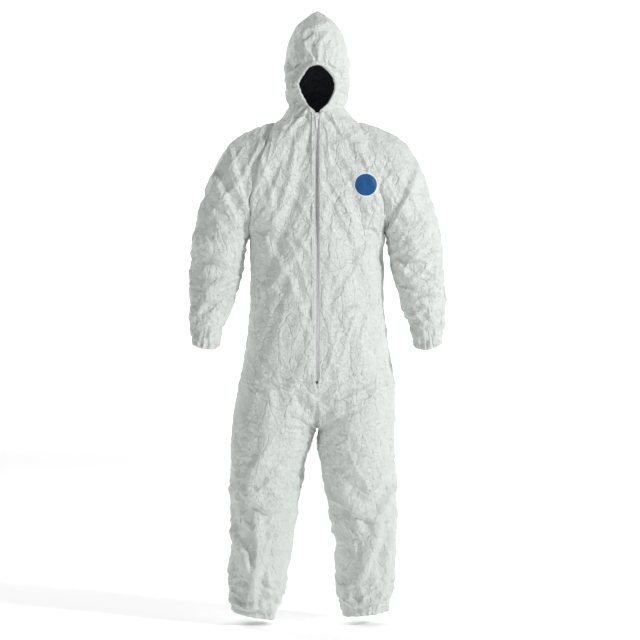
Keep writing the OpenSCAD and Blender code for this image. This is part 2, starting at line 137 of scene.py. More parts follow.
class Suit:
    """Vertices welded by place, and faces that know their piece and limb."""

    def __init__(self):
        self.index, self.points, self.limb = {}, [], []
        self.faces, self.face_piece = [], []

    def vertex(self, p, limb):
        key = tuple(int(round(c * 20)) for c in p)
        if key not in self.index:
            self.index[key] = len(self.points)
            self.points.append([float(c) for c in p])
            self.limb.append(limb)
        return self.index[key]

    def grid(self, rows, limb, piece, outward, wrap=False):
        """Adds a piece's rows of points. outward says whether rows down and columns to the right face out."""
        ids = [[self.vertex(p, limb) for p in row] for row in rows]
        last = len(ids[0]) if wrap else len(ids[0]) - 1
        for i in range(len(ids) - 1):
            for j in range(last):
                k = (j + 1) % len(ids[0])
                quad = [ids[i][j], ids[i + 1][j], ids[i + 1][k], ids[i][k]]
                quad = list(dict.fromkeys(quad if outward else quad[::-1]))
                if len(quad) > 2:
                    self.faces.append(quad)
                    self.face_piece.append(piece)


def front_depth(z):
    return 90 - z * 38 / 763


def armhole(z):
    """Half the depth of the armhole at a height."""
    middle, half = (ARMPIT + SHOULDER_TOP) / 2, (SHOULDER_TOP - ARMPIT) / 2
    t = min(1.0, abs(z - middle) / half)
    return 95 * math.sqrt(max(0.0, 1 - t * t))


def body_curve(z, front, middle):
    """A level line of the body from its middle line to its side or armhole."""
    w, depth = float(table(BODY_HALF_W, z)), front_depth(z) if front else float(table(BODY_BACK, z))
    h = armhole(z)
    shift = ARM_Y * min(1.0, h / 20)
    h = h - shift if front else h + shift
    h = max(h, 0) if armhole(z) > 0 else 0
    start = math.asin((middle / w) ** (1 / 0.86)) if middle else 0
    a = np.linspace(start, math.pi / 2, 160)
    x, y = w * np.sin(a) ** 0.86, h + (depth - h) * np.clip(np.cos(a), 0, 1) ** 0.86
    return resample(np.stack([x, -y if front else y, np.full_like(x, z)], 1), QUARTER + 1)


def zip_edge(z):
    """Half the gap between the front panels, which closes in a V at the foot of the zip."""
    return ZIP_HALF * min(1.0, max(0.0, (z - ZIP_FOOT) / 14))


arm_t = np.linspace(0, 1, ARM_ROWS + 1)
arm_share = 0.72 * np.cos(arm_t * math.pi) + 0.28 * (1 - 2 * arm_t)
arm_rows = (ARMPIT + SHOULDER_TOP) / 2 + (SHOULDER_TOP - ARMPIT) / 2 * arm_share
flank_rows = np.linspace(ARMPIT, HIP_SPREAD, 30)[1:]
straight_rows = list(np.linspace(NECK_Z, SHOULDER_TOP, 4)[:-1]) + list(arm_rows) + list(flank_rows)


def leg_ring(side, height, slope, count):
    """A ring of a leg from the inner thigh forward round the outside and back, tilted up to the outside."""
    cx, a, b = (float(table(t, height)) for t in (LEG_X[side], LEG_HALF_W, LEG_DEPTH))
    phi = math.pi + 2 * math.pi * np.linspace(0, 1, 400)
    x, y = cx + a * np.cos(phi), b * np.sin(phi)
    return resample(np.stack([x, y, height + slope * (x - cx)], 1), count)


def pelvis_rows(front):
    """Rows from the hips down to the line from the crotch to the outside of the hip."""
    leg = leg_ring(1, LEG_TOP, LEG_SLOPE, 2 * QUARTER + 1)
    last = leg[:QUARTER + 1] if front else leg[::-1][:QUARTER + 1]
    count = 44
    rows = []
    straight = HIP_SPREAD - HIP_Z
    for k in range(1, count + 1):
        run = k / count
        travel = run * (straight + CROTCH_R * math.pi / 2)
        theta = max(0.0, (travel - straight) / CROTCH_R)
        z_mid = HIP_SPREAD - min(travel, straight)
        z_side = HIP_SPREAD + (SIDE_FOOT - HIP_SPREAD) * run
        row = body_curve(z_mid, front, zip_edge(z_mid) if front else 0)
        side = body_curve(z_side, front, 0)
        lean = np.linspace(0, 1, QUARTER + 1)[:, None] ** 1.5
        row = row * (1 - lean) + side * lean
        s = theta / (math.pi / 2)
        s = s * s * (3 - 2 * s) if s < 1 else 1.0
        depth = abs(row[0, 1])
        arc = np.array([0, math.copysign(depth * math.cos(theta), row[0, 1]),
                        HIP_Z - CROTCH_R * math.sin(theta)])
        mixed = row * (1 - s) + last * s
        if theta > 0:
            fade = (1 - np.linspace(0, 1, QUARTER + 1)[:, None]) ** 3
            mixed += fade * (arc - mixed[0])
            mixed[0, 0] = 0
        rows.append(mixed)
    rows[-1] = last.copy()
    return rows


def sleeve_ring(s, ring0_a):
    """A ring of the sleeve at s key rings from the armhole. ring0_a are the armhole's own angles."""
    knots = np.arange(len(SLEEVE_RINGS))
    ox, oz, ix, iz, depth, yc = (np.interp(s, knots, col) for col in np.array(SLEEVE_RINGS, float).T)
    even = np.linspace(0, 2 * math.pi, len(ring0_a), endpoint=False)
    share = min(1.0, s / 5)
    a = ring0_a * (1 - share) + even * share
    c, sn = np.cos(a), np.sin(a)
    x = (ox + ix) / 2 + (ox - ix) / 2 * c
    z = (oz + iz) / 2 + (oz - iz) / 2 * c
    tilt = np.interp(s, [len(knots) - 3, len(knots) - 1], [0, WRIST_TILT])
    return np.stack([x, yc - depth * sn, z - tilt * depth * sn], 1)


def hood_curve(z):
    """A level line of the hood from the face opening, or the crown seam, round to the back."""
    w, f, b = (float(table(t, z)) for t in (HOOD_HALF_W, HOOD_FRONT, HOOD_BACK))
    edge = float(table(FACE_HALF_W, z)) if z <= FACE_TOP else 0.0
    start = math.asin(min(0.97, edge / max(w, 1e-6))) if w > 0 else 0
    a = np.linspace(start, math.pi, 240)
    x, y = w * np.sin(a), -np.where(a < math.pi / 2, f, b) * np.cos(a)
    x[-1] = 0
    half = np.searchsorted(a, math.pi / 2)
    line = np.stack([x, y, np.full_like(x, z)], 1)
    front = resample(line[:half + 1], QUARTER + 1)
    back = resample(line[half:], QUARTER + 1)
    even = resample(line, 2 * QUARTER + 1)
    share = min(1.0, max(0.0, (z - NECK_Z) / 60))
    return np.concatenate([front, back[1:]]) * (1 - share) + even * share


def on_side(rows, side):
    """Rows of the wearer's left as they are, or mirrored for the right."""
    return [np.asarray(r) * [side, 1, 1] for r in rows]


def panel_rows(front):
    rows = [body_curve(z, front, zip_edge(z) if front else 0) for z in straight_rows] + pelvis_rows(front)
    rows[-1][0, 0] = 0
    return rows


FIRST_ARM = 3              # rows above the armhole
front_rows, back_rows = panel_rows(True), panel_rows(False)
for back_row, front_row in zip(back_rows, front_rows):
    if abs(back_row[-1, 1]) < 1e-6 or abs(front_row[-1, 1]) < 1e-6:
        back_row[-1] = front_row[-1]
armhole_ring = [front_rows[FIRST_ARM + i][-1] for i in range(ARM_ROWS + 1)]
armhole_ring += [back_rows[FIRST_ARM + i][-1] for i in range(ARM_ROWS - 1, 0, -1)]
arm_angles = np.arccos(np.clip(arm_share, -1, 1))
ring0_a = np.concatenate([arm_angles, 2 * math.pi - arm_angles[-2:0:-1]])

NAMES = {-1: "right", 1: "left"}
CUT_SLEEVE, CUT_LEG = -395.0, -1015.0
HOOD_ROWS = [*np.linspace(NECK_Z, ZIP_TOP, 3), *np.linspace(24, 290, 37),
             295, 300, 304.5, 308.5, 311.5, 313.8, 315]


def sleeve_rings():
    rings, s = [np.array(armhole_ring)], 0.12
    while s < len(SLEEVE_RINGS) - 1:
        rings.append(sleeve_ring(s, ring0_a))
        s += 0.2
    return rings + [sleeve_ring(len(SLEEVE_RINGS) - 1.0, ring0_a)]


def leg_rings(side):
    rings = [np.concatenate([front_rows[-1], back_rows[-1][::-1][1:]])]
    for h in np.linspace(LEG_TOP, ANKLE_Z, 66)[1:]:
        slope = LEG_SLOPE * max(0.0, 1 - (h - LEG_TOP) / (LEVEL_FROM - LEG_TOP)) ** 1.3
        rings.append(leg_ring(side, h, slope, 2 * QUARTER + 1))
    return on_side([ring[:-1] for ring in rings], side)


def cut_in_two(rings, height):
    cut = next(k for k, r in enumerate(rings) if r[:, 2].max() < height)
    return rings[:cut + 1], rings[cut:]


def build_suit():
    suit = Suit()
    for side, name in NAMES.items():
        suit.grid(on_side(front_rows, side), TORSO, "front_panel_" + name, side > 0)
        suit.grid(on_side(back_rows, side), TORSO, "back_panel_" + name, side < 0)
        sleeve, leg = cut_in_two(sleeve_rings(), CUT_SLEEVE), cut_in_two(leg_rings(side), CUT_LEG)
        for label, lot in zip(("sleeve_upper_cloth_", "sleeve_lower_cloth_"), sleeve):
            suit.grid(on_side(lot, side), SLEEVE, label + name, side < 0, wrap=True)
        for label, lot in zip(("leg_upper_cloth_", "leg_lower_cloth_"), leg):
            suit.grid(lot, LEG, label + name, side > 0, wrap=True)
        rows = [hood_curve(z) for z in HOOD_ROWS]
        rows[0] = np.concatenate([front_rows[0], back_rows[0][::-1][1:]])
        suit.grid(on_side(rows, side), HOOD, "hood_cloth_" + name, side < 0)
    return suit


suit = build_suit()
P0 = np.array(suit.points)
LIMB = np.array(suit.limb)
PIECES = sorted(set(suit.face_piece))


# ---------------------------------------------------------------- seams and edges of the suit

def nearest(points, lines):
    """Distance from each point to the nearest of some polylines."""
    best = np.full(len(points), 1e9)
    for line in lines:
        line = np.asarray(line, float)
        for a, b in zip(line[:-1], line[1:]):
            d = b - a
            t = np.clip((points - a) @ d / max(d @ d, 1e-9), 0, 1)
            best = np.minimum(best, np.linalg.norm(points - a - t[:, None] * d, axis=1))
    return best


def both(line):
    line = np.asarray(line, float)
    return [line, line * [-1, 1, 1]]


wrist_ring = sleeve_ring(len(SLEEVE_RINGS) - 1.0, ring0_a)
SEAMS = {
    "zip": both([r[0] for r in front_rows if r[0][2] > ZIP_FOOT]),
    "crotch": [np.array([r[0] for r in front_rows if r[0][2] <= ZIP_FOOT] + [r[0] for r in back_rows[::-1]])],
    "neck": both(np.concatenate([front_rows[0], back_rows[0][::-1]])),
    "armhole": both(np.array(armhole_ring + armhole_ring[:1])),
    "side": both([r[-1] for r in front_rows if r[-1][2] < ARMPIT]),
    "face": both([hood_curve(z)[0] for z in HOOD_ROWS if ZIP_TOP <= z <= FACE_TOP] + [hood_curve(FACE_TOP)[0]]),
    "crown": [np.concatenate([[hood_curve(z)[0] for z in HOOD_ROWS if z >= FACE_TOP],
                              [hood_curve(z)[-1] for z in HOOD_ROWS[::-1]]])],
    "wrist": both(np.concatenate([wrist_ring, wrist_ring[:1]])),
    "ankle": [leg_ring(1, ANKLE_Z, 0, 60), leg_ring(-1, ANKLE_Z, 0, 60) * [-1, 1, 1]],
}
TO = {label: nearest(P0, lines) for label, lines in SEAMS.items()}

# ---------------------------------------------------------------- cloth simulation

SIM_SCALE = 0.01       # simulation units per millimetre
SIM_FRAMES = 26
MOST_MOVE = 26.0
SPARE_ROUND = 1.035
# Spare length down the body and legs, and down the sleeves, as (height, share)
BODY_SLACK = [(340, .03), (0, .03), (-250, .02), (-470, .05), (-516, .08), (-570, .03), (-740, .06),
              (-885, .09), (-960, .05), (-1040, .05), (-1096, .15), (-1170, .08), (-1280, .05), (-1340, .14),
              (-1413, .3)]
SLEEVE_SLACK = [(340, .03), (0, .03), (-250, .02), (-313, .03), (-360, .09), (-430, .17), (-500, .1),
                (-560, .07), (-600, .16), (-650, .22)]


def slack(z, knots):
    """How far a point is let down by the spare length above it."""
    grid = np.linspace(340, -1450, 3600)
    share = table(knots, grid)
    fall = np.concatenate([[0], np.cumsum((share[1:] + share[:-1]) / 2 * -np.diff(grid))])
    return np.interp(z, grid[::-1], fall[::-1])


def near(label, width):
    return np.clip(1 - TO[label] / width, 0, 1)


def pin_weights():
    """How firmly each point is held: open edges fully, seams by half, and the rest a little."""
    held = np.where(LIMB == HOOD, 0.16, 0.10)
    edges = np.minimum.reduce([TO["zip"], TO["wrist"], TO["ankle"], TO["face"]]) < 1
    seams = [0.5 * near("zip", 20), 0.5 * near("neck", 8), 0.45 * near("armhole", 8), 0.4 * near("crotch", 8),
             0.2 * near("crown", 8), 0.25 * near("side", 8)]
    return np.maximum.reduce([held, 1.0 * edges, *seams])


def seeded_noise(points, scale, seed):
    off = Vector((seed * 17.3, seed * 5.1, seed * 9.7))
    return np.array([noise.noise(Vector(p) * (1 / scale) + off) for p in points])


def normals_of(points, faces):
    out = np.zeros_like(points)
    quads = np.array([f if len(f) == 4 else list(f) + [f[-1]] for f in faces])
    n = np.cross(points[quads[:, 2]] - points[quads[:, 0]], points[quads[:, 3]] - points[quads[:, 1]])
    for k in range(4):
        np.add.at(out, quads[:, k], n)
    return out / np.maximum(np.linalg.norm(out, axis=1), 1e-9)[:, None]


def slack_shape():
    """The suit with its spare cloth pulled straight, which the simulation takes as its rest."""
    rest = P0.copy()
    rest[:, 2] -= np.where(LIMB == SLEEVE, slack(P0[:, 2], SLEEVE_SLACK), slack(P0[:, 2], BODY_SLACK))
    rest[:, :2] *= SPARE_ROUND
    return rest


def simulate():
    """Lets the suit's spare cloth buckle about its pinned seams."""
    pin = np.round(pin_weights(), 2)
    ripple = seeded_noise(P0, 26, 1) * 2.0 * (pin < 0.9)
    start = (P0 + normals_of(P0, suit.faces) * ripple[:, None]) * SIM_SCALE
    mesh = bpy.data.meshes.new("sim")
    mesh.from_pydata(start.tolist(), [], suit.faces)
    obj = bpy.data.objects.new("sim", mesh)
    bpy.context.scene.collection.objects.link(obj)
    obj.shape_key_add(name="Basis")
    goal = obj.shape_key_add(name="slack")
    goal.data.foreach_set("co", (slack_shape() * SIM_SCALE).astype(np.float32).ravel())
    group = obj.vertex_groups.new(name="pin")
    for level in np.unique(pin):
        group.add(np.nonzero(pin == level)[0].tolist(), float(level), "REPLACE")
    cloth = obj.modifiers.new("Cloth", "CLOTH")
    st = cloth.settings
    st.quality, st.mass = 6, 0.15
    st.tension_stiffness = st.compression_stiffness = 400
    st.shear_stiffness, st.bending_stiffness = 25, 0.5
    st.tension_damping = st.compression_damping = st.shear_damping = 8
    st.bending_damping, st.air_damping = 1, 2
    st.vertex_group_mass, st.pin_stiffness = "pin", 0.35
    st.rest_shape_key = goal
    st.effector_weights.gravity = 0.25
    cloth.collision_settings.use_collision = False
    cloth.point_cache.frame_start, cloth.point_cache.frame_end = 1, SIM_FRAMES
    scene = bpy.context.scene
    for f in range(1, SIM_FRAMES + 1):
        scene.frame_set(f)
    done = obj.evaluated_get(bpy.context.evaluated_depsgraph_get()).to_mesh()
    out = np.zeros(len(P0) * 3, np.float32)
    done.vertices.foreach_get("co", out)
    scene.frame_set(1)
    bpy.data.objects.remove(obj)
    return out.reshape(-1, 3).astype(float) / SIM_SCALE


def evened(values, faces, rounds):
    """Values averaged with their neighbours' many times over, which leaves only the broad shape."""
    pairs = np.unique(np.sort(np.array([e for f in faces for e in zip(f, f[1:] + f[:1])]), 1), axis=0)
    a, b = pairs[:, 0], pairs[:, 1]
    count = np.bincount(a, minlength=len(values)) + np.bincount(b, minlength=len(values))
    for _ in range(rounds):
        total = np.bincount(a, values[b], len(values)) + np.bincount(b, values[a], len(values))
        values = (values + total / np.maximum(count, 1)) / 2
    return values


def limited(points):
    """Keeps the simulation's folds but not its swelling, and caps how far a point may move."""
    move = points - P0
    n = normals_of(P0, suit.faces)
    move -= n * evened((move * n).sum(1), suit.faces, 120)[:, None]
    size = np.linalg.norm(move, axis=1)
    return P0 + move * np.where(size > MOST_MOVE, MOST_MOVE / np.maximum(size, 1e-9), 1)[:, None]


P1 = limited(simulate())

# ---------------------------------------------------------------- one subdivision


def subdivided(points):
    """The suit in metres with each face cut in four, and its point and face attributes."""
    whole = bpy.data.meshes.new("suit")
    whole.from_pydata((points * MM).tolist(), [], suit.faces)
    values = {"x0": P0[:, 0], "y0": P0[:, 1], "z0": P0[:, 2], "limb": LIMB, **TO}
    for label, value in values.items():
        whole.attributes.new(label, "FLOAT", "POINT").data.foreach_set("value", np.asarray(value, np.float32))
    piece = whole.attributes.new("piece", "INT", "FACE")
    piece.data.foreach_set("value", [PIECES.index(p) for p in suit.face_piece])
    holder = bpy.data.objects.new("suit", whole)
    bpy.context.scene.collection.objects.link(holder)
    modifier = holder.modifiers.new("Subdivision", "SUBSURF")
    modifier.levels = modifier.render_levels = 1
    modifier.boundary_smooth = "PRESERVE_CORNERS"
    fine = bpy.data.meshes.new_from_object(holder.evaluated_get(bpy.context.evaluated_depsgraph_get()))
    bpy.data.objects.remove(holder)
    co = np.zeros(len(fine.vertices) * 3, np.float32)
    fine.vertices.foreach_get("co", co)
    out = {}
    for label in values:
        got = np.zeros(len(fine.vertices), np.float32)
        fine.attributes[label].data.foreach_get("value", got)
        out[label] = got.astype(float)
    owner = np.zeros(len(fine.polygons), np.int32)
    fine.attributes["piece"].data.foreach_get("value", owner)
    return co.reshape(-1, 3).astype(float), [list(p.vertices) for p in fine.polygons], owner, out


Q, fine_faces, fine_owner, F = subdivided(P1)
QN = normals_of(Q, fine_faces)

# ---------------------------------------------------------------- creases

# limb, from height, to height, direction in the front view for the wearer's left, width and length of a fold,
# height of its ridge, seed
FOLDS = [
    (TORSO, 0, -330, (0.50, -0.87), 44, 300, 5.5, 1),
    (TORSO, -30, -480, (-0.52, -0.85), 62, 340, 6.0, 2),
    (TORSO, -440, -600, (1.0, 0.10), 26, 150, 3.0, 3),
    (TORSO, -520, -800, (-0.40, -0.92), 60, 260, 4.0, 4),
    (TORSO, -740, -900, (0.94, 0.30), 22, 150, 3.6, 5),
    (SLEEVE, 10, -260, (0.56, -0.83), 38, 260, 6.5, 6),
    (SLEEVE, -150, -420, (-0.40, -0.92), 44, 220, 5.0, 7),
    (SLEEVE, -290, -560, (0.80, -0.60), 34, 170, 5.5, 8),
    (SLEEVE, -340, -600, (0.80, 0.60), 38, 160, 5.0, 9),
    (SLEEVE, -540, -650, (0.30, -0.95), 26, 120, 3.0, 10),
    (LEG, -840, -1060, (1.0, 0.10), 19, 170, 4.2, 11),
    (LEG, -880, -1060, (0.20, -0.98), 70, 300, 4.5, 12),
    (LEG, -1030, -1180, (0.92, -0.38), 44, 200, 6.0, 13),
    (LEG, -1040, -1240, (0.85, 0.52), 52, 220, 4.0, 14),
    (LEG, -1130, -1400, (0.16, -0.98), 52, 320, 6.0, 15),
    (LEG, -1320, -1420, (0.90, 0.42), 26, 110, 7.5, 16),
    (HOOD, 80, 320, (0.70, 0.71), 34, 150, 3.0, 17),
    (HOOD, 0, 90, (-0.45, -0.89), 26, 130, 4.5, 18),
]
# Single folds on the front: limb, ridge line as (x, height), its height, and how far it falls away to its
# left and right, seen along the line
RIDGES = [
    (LEG, [(-215, -1062), (-190, -1086), (-140, -1112), (-85, -1100)], 9, 34, 14),
    (LEG, [(-255, -1160), (-222, -1215), (-192, -1290), (-176, -1345)], 10, 16, 42),
    (LEG, [(-182, -1130), (-170, -1210), (-176, -1290), (-205, -1395)], 8, 30, 14),
    (LEG, [(-250, -1385), (-215, -1400), (-150, -1388), (-115, -1402)], 7, 12, 20),
    (LEG, [(-150, -940), (-190, -1000), (-200, -1075)], 6, 40, 18),
    (LEG, [(28, -1080), (80, -1098), (117, -1120), (180, -1141), (226, -1136)], 10, 34, 14),
    (LEG, [(16, -980), (60, -1055), (100, -1110), (120, -1165)], 7, 36, 16),
    (LEG, [(192, -1120), (160, -1222), (128, -1310)], 9, 16, 40),
    (LEG, [(176, -1138), (208, -1090), (224, -1050)], 8, 20, 20),
    (LEG, [(220, -1180), (196, -1262), (210, -1350)], 7, 26, 16),
    (LEG, [(70, -1372), (110, -1392), (170, -1380), (205, -1352)], 7, 22, 12),
    (SLEEVE, [(-358, -340), (-310, -378), (-255, -412)], 8, 34, 14),
    (SLEEVE, [(-300, -150), (-268, -220), (-226, -300), (-210, -372)], 8, 16, 34),
    (SLEEVE, [(-250, -60), (-236, -150), (-205, -240)], 7, 14, 34),
    (SLEEVE, [(-368, -470), (-310, -478), (-240, -452)], 6, 26, 12),
    (SLEEVE, [(-352, -560), (-312, -520), (-262, -530)], 6, 20, 14),
    (SLEEVE, [(372, -360), (320, -400), (232, -372)], 7, 14, 28),
    (SLEEVE, [(290, -130), (262, -220), (214, -312)], 8, 34, 14),
    (SLEEVE, [(215, -380), (262, -440), (345, -470)], 8, 14, 34),
    (SLEEVE, [(236, -470), (290, -512), (366, -505)], 6, 12, 26),
    (SLEEVE, [(262, -560), (306, -548), (352, -590)], 6, 22, 12),
    (TORSO, [(-192, -290), (-150, -340), (-70, -470), (-40, -560)], 6, 16, 50),
    (TORSO, [(-160, -110), (-132, -230), (-118, -330)], 6, 14, 44),
    (TORSO, [(-60, -60), (-84, -190), (-140, -330)], 6, 40, 14),
    (TORSO, [(-20, -330), (-66, -400), (-150, -500), (-180, -560)], 6, 16, 46),
    (TORSO, [(190, -300), (150, -350), (60, -520)], 5, 44, 16),
    (TORSO, [(118, -60), (150, -150), (178, -250)], 5, 14, 30),
    (TORSO, [(12, -340), (80, -352), (150, -336)], 4, 12, 22),
    (TORSO, [(-200, -530), (-120, -548), (-30, -530)], 4, 12, 24),
    (TORSO, [(20, -530), (90, -546), (190, -520)], 4, 12, 24),
    (TORSO, [(-14, -790), (-60, -765), (-130, -770), (-205, -740)], 5, 22, 10),
    (TORSO, [(14, -780), (70, -800), (150, -780), (210, -790)], 5, 22, 10),
    (HOOD, [(-62, 160), (-60, 205), (-30, 250), (20, 268)], 5, 24, 12),
    (HOOD, [(-30, 178), (-34, 215), (-8, 240)], 4.5, 12, 18),
    (HOOD, [(4, 176), (8, 216), (30, 246)], 4, 18, 10),
    (HOOD, [(-92, 190), (-78, 130), (-58, 96)], 5, 10, 16),
    (HOOD, [(-94, 150), (-80, 96), (-56, 66)], 5, 10, 16),
    (HOOD, [(-20, 24), (-50, 2), (-64, -18)], 4, 10, 14),
]
FOLD_FADE = 40.0
RIDGE_GAIN = {TORSO: 1.3, SLEEVE: 1.7, LEG: 2.6, HOOD: 2.6}
FOLD_GAIN = {TORSO: 0.95, SLEEVE: 1.1, LEG: 1.25, HOOD: 1.7}


def window(z, top, foot):
    """1 between two heights, and falling smoothly to 0 past them."""
    above = np.clip((top + FOLD_FADE - z) / FOLD_FADE, 0, 1)
    rise = above * np.clip((z - foot + FOLD_FADE) / FOLD_FADE, 0, 1)
    return rise * rise * (3 - 2 * rise)


def to_edge(place):
    """How much farther the second cell of a Voronoi pattern is than the first, which is 0 on its edges."""
    near_cells = noise.voronoi(place, distance_metric="DISTANCE", exponent=2.5)[0]
    return near_cells[1] - near_cells[0]


def fold(points, side, way, across, along, seed):
    """Long facets with sharp ridges between them along a direction. 1 on a ridge, 0 inside a facet."""
    d = np.stack([side * way[0], np.zeros(len(side)), np.full(len(side), way[1])], 1)
    e = np.stack([d[:, 2], np.zeros(len(side)), -d[:, 0]], 1)
    u, v, w = (points * d).sum(1) / along, (points * e).sum(1) / across, points[:, 1] / (across * 1.6)
    out = np.zeros(len(points))
    bend = Vector((seed * 2.3, seed * 4.1, 0))
    for k, (a, b, c) in enumerate(zip(u, v, w)):
        shift = noise.noise(Vector((a * 1.7, b * 0.4, c * 0.4)) + bend) * 0.9
        out[k] = to_edge(Vector((a + seed * 3.1, b + shift, c)))
    return 0.72 * (1 - np.clip(out / 0.6, 0, 1)) + 0.28 * (1 - np.clip(out / 0.16, 0, 1))


def ridge(points, line, left, right):
    """A single fold in the front view, 1 along its line and falling to 0 on either side and past its ends."""
    line = np.array(resample([(x, 0, z) for x, z in line], 24))[:, [0, 2]]
    p = points[:, [0, 2]]
    best, out = np.full(len(p), 1e9), np.zeros(len(p))
    whole = np.linspace(0, 1, len(line))
    for k in range(len(line) - 1):
        a, d = line[k], line[k + 1] - line[k]
        t = np.clip((p - a) @ d / (d @ d), 0, 1)
        off = p - a - t[:, None] * d
        dist = np.linalg.norm(off, axis=1)
        width = np.where(d[0] * off[:, 1] - d[1] * off[:, 0] > 0, left, right)
        along = whole[k] + t * (whole[k + 1] - whole[k])
        taper = np.sqrt(np.clip(np.sin(np.pi * (0.06 + 0.88 * along)), 0, 1))
        value = np.clip(1 - dist / width, 0, 1) * taper
        closer = dist < best
        best, out = np.where(closer, dist, best), np.where(closer, value, out)
    return out


def gathers(angle, count, points, seed):
    """Uneven ridges across an elastic edge, from 0 to 1."""
    wobble = seeded_noise(points, 50 * MM, seed) * 2.2 + seeded_noise(points, 18 * MM, seed + 1) * 0.5
    size = 0.65 + 0.6 * seeded_noise(points, 35 * MM, seed + 2)
    return np.clip(size, 0.2, 1) * (1 - np.abs(np.sin(angle * count / 2 + wobble)))


def crumple(points, size, seed):
    """A net of fine creases, as in paper that was crushed once. 1 on a crease, 0 elsewhere."""
    off = Vector((seed * 3.7, seed * 11.9, seed * 7.3))
    out = np.zeros(len(points))
    for k, p in enumerate(points):
        out[k] = to_edge(Vector(p) * (1 / size) + off)
    return 1 - np.clip(out / 0.2, 0, 1)


BADGE = (139.0, -190.0, 35.0)       # x, height and radius
HEM_RISE, HEM_DROP = 12.0, 12.0     # how far a hem rides up outside, and the right one hangs inside
MOST_LIFT = 12.0
# Folds that spread from a point on each side: (x, height), reach, folds to the circle, height, seed, limbs
SPREADS = [((0, -775), 120, 22, 3.6, 30, (TORSO, LEG)), ((200, -300), 110, 20, 4.0, 31, (TORSO, SLEEVE))]
# Gathers at elastic edges: (height, how far they reach, folds to the circle), for coarse and fine ones
GATHERS = {"ankle": ((9.0, 60, 18), (4.0, 24, 40)), "wrist": ((6.0, 46, 13), (3.0, 18, 30)),
           "face": ((21.0, 60, 26), (2.5, 24, 50))}
GATHER_IN = {"ankle": 0.75, "wrist": 0.75, "face": 0.4}    # how far the elastic draws the cloth in
FACE_SHARE = {-1: 1.0, 1: 0.4}      # the wearer's right of the face is gathered more, as in the photo
# Sewn seams: depth and width of the groove
GROOVES = (("neck", 2.2, 5), ("armhole", 2.6, 5), ("crotch", 3.4, 5), ("side", 1.0, 5), ("crown", -0.3, 4))
SIDE = np.where(F["x0"] < 0, -1.0, 1.0)
LEG_MIDDLE = np.where(F["x0"] < 0, 184, 139)
AROUND = {"ankle": np.arctan2(F["y0"], np.abs(F["x0"]) - LEG_MIDDLE),
          "wrist": np.arctan2(F["y0"] + 52, np.abs(F["x0"]) - 317),
          "face": np.arctan2(F["x0"], F["z0"] - 92)}


def folds():
    """Height of the folds all over the suit, in mm."""
    base = np.stack([F["x0"], F["y0"], F["z0"]], 1)
    limb = np.round(F["limb"]).astype(int)
    lift = 0.9 * crumple(Q, 0.070, 1) - 0.7 * crumple(Q, 0.040, 2)
    for where, top, foot, way, across, along, height, seed in FOLDS:
        mask = (limb == where) * window(F["z0"], top, foot)
        some = np.nonzero(mask > 0.01)[0]
        shape = fold(base[some], SIDE[some], way, across, along, seed)
        lift[some] += mask[some] * FOLD_GAIN[where] * height * (shape - 0.4)
    for where, line, height, left, right in RIDGES:
        some = np.nonzero((limb == where) & (QN[:, 1] < -0.1))[0]
        facing = np.clip((-0.1 - QN[some, 1]) / 0.45, 0, 1)
        lift[some] += RIDGE_GAIN[where] * height * facing * ridge(base[some], line, left, right)
    for centre, reach, count, height, seed, group in SPREADS:
        dx, dz = np.abs(F["x0"]) - centre[0], F["z0"] - centre[1]
        spread = np.exp(-((dx * dx + dz * dz) / reach ** 2)) * np.isin(limb, group)
        some = np.nonzero(spread > 0.02)[0]
        lift[some] += height * spread[some] * (gathers(np.arctan2(dz, dx)[some], count, Q[some], seed) - 0.4)
    return lift - 0.8 * evened(lift, fine_faces, 160)


def edge_gathers(lift):
    """Adds the gathers that an elastic draws in."""
    for label, rows in GATHERS.items():
        some = np.nonzero(F[label] < 200)[0]
        far = F[label][some]
        for k, (height, decay, count) in enumerate(rows):
            size, reach = 1.0, np.exp(-far / decay)
            if label == "face":
                size = np.where(SIDE[some] < 0, FACE_SHARE[-1], FACE_SHARE[1])
                reach *= 1 - 0.65 * np.exp(-(far / 9) ** 2)
            shape = gathers(AROUND[label][some], count, Q[some], 40 + 5 * k)
            lift[some] += size * height * reach * (shape - GATHER_IN[label])


def creased():
    lift = folds()
    edge_gathers(lift)
    lift = MOST_LIFT * np.tanh(lift / MOST_LIFT)
    lift *= 1 - np.exp(-(F["zip"] / 9) ** 2)
    under_badge = np.hypot(F["x0"] - BADGE[0], F["z0"] - BADGE[1]) / BADGE[2]
    lift *= 1 - 0.9 * np.exp(-under_badge ** 4) * (QN[:, 1] < 0)
    for label, depth, width in GROOVES:
        lift -= depth * np.exp(-(F[label] / width) ** 2)
    out = Q + QN * (lift * MM)[:, None]
    outside = 0.5 + 0.5 * np.cos(AROUND["ankle"])
    rise = HEM_RISE * outside - np.where(SIDE < 0, HEM_DROP, 2.0) * (1 - outside)
    out[:, 2] += rise * MM * np.exp(-F["ankle"] / 60) * (F["ankle"] < 300)
    return out


Q = creased()
QN = normals_of(Q, fine_faces)
surface = BVHTree.FromPolygons(Q.tolist(), fine_faces)

# ---------------------------------------------------------------- materials


def material(name, colour, roughness, build=None):
    m = bpy.data.materials.new(name)
    m.use_nodes = True
    nodes, links = m.node_tree.nodes, m.node_tree.links
    shader = nodes["Principled BSDF"]
    shader.inputs["Base Color"].default_value = (*colour, 1)
    shader.inputs["Roughness"].default_value = roughness
    if build:
        build(nodes, links, shader)
    return m


def noise_node(nodes, links, place, scale, detail):
    n = nodes.new("ShaderNodeTexNoise")
    n.inputs["Scale"].default_value = scale
    n.inputs["Detail"].default_value = detail
    links.new(place, n.inputs["Vector"])
    return n.outputs["Fac"]


